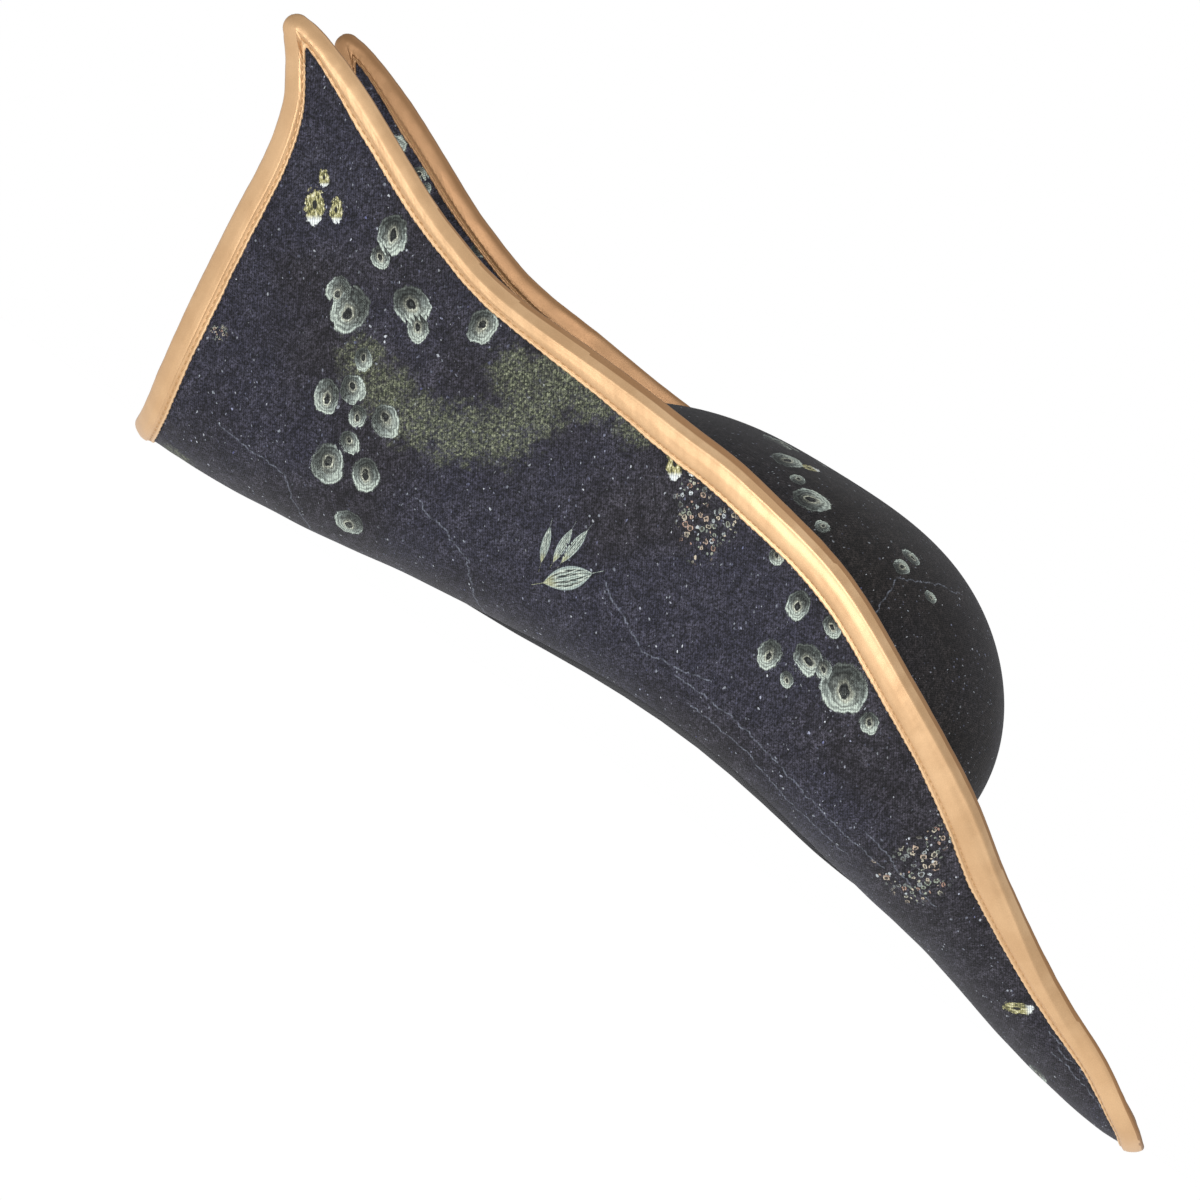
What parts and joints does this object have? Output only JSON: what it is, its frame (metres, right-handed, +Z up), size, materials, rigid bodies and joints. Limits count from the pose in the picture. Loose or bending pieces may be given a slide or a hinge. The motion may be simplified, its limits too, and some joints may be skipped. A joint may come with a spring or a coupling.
{
  "type": "pirate captain hat",
  "caption": "Pirate captain's hat with a padded dome crown and one wide wired brim folded up into two pointed wings and a low tail, edged with a satin binding.",
  "frame": {"origin": "middle of the head opening, in the plane of the seam between crown and brim", "axes": "+Z up through the crown, -Y the way the wearer faces, +X the wearer's left"},
  "size_m": [0.2298, 0.4844, 0.1616],
  "materials": {
    "crown_cover": "printed scuba-knit fabric, near black, soft matte",
    "brim_lower_cover": "printed scuba-knit fabric, near black, soft matte",
    "brim_upper_cover": "printed scuba-knit fabric, near black, soft matte",
    "brim_foam": "open-cell foam sheet, unseen",
    "crown_foam": "open-cell foam sheet, unseen",
    "crown_lining": "plain woven lining",
    "sweatband": "grosgrain band",
    "seam_tape": "woven tape",
    "care_label": "blank satin tape",
    "binding": "gold satin-sheen faux leather",
    "thread": "polyester sewing thread",
    "wire": "drawn wire",
    "wire_sleeve": "crimped tube"
  },
  "bodies": {
    "root": {"crown_cover": "crown_cover", "crown_foam": "crown_foam", "crown_lining": "crown_lining", "sweatband": "sweatband", "sweatband_thread": "thread", "seam_tape": "seam_tape", "care_label": "care_label", "brim_lower_cover": "brim_lower_cover", "brim_foam": "brim_foam", "brim_upper_cover": "brim_upper_cover", "edge_wire": "wire", "wire_sleeve": "wire_sleeve", "front_binding": "binding", "left_binding": "binding", "right_binding": "binding", "front_needle_thread": "thread", "front_bobbin_thread": "thread", "left_needle_thread": "thread", "left_bobbin_thread": "thread", "right_needle_thread": "thread", "right_bobbin_thread": "thread"}
  },
  "joints": []
}
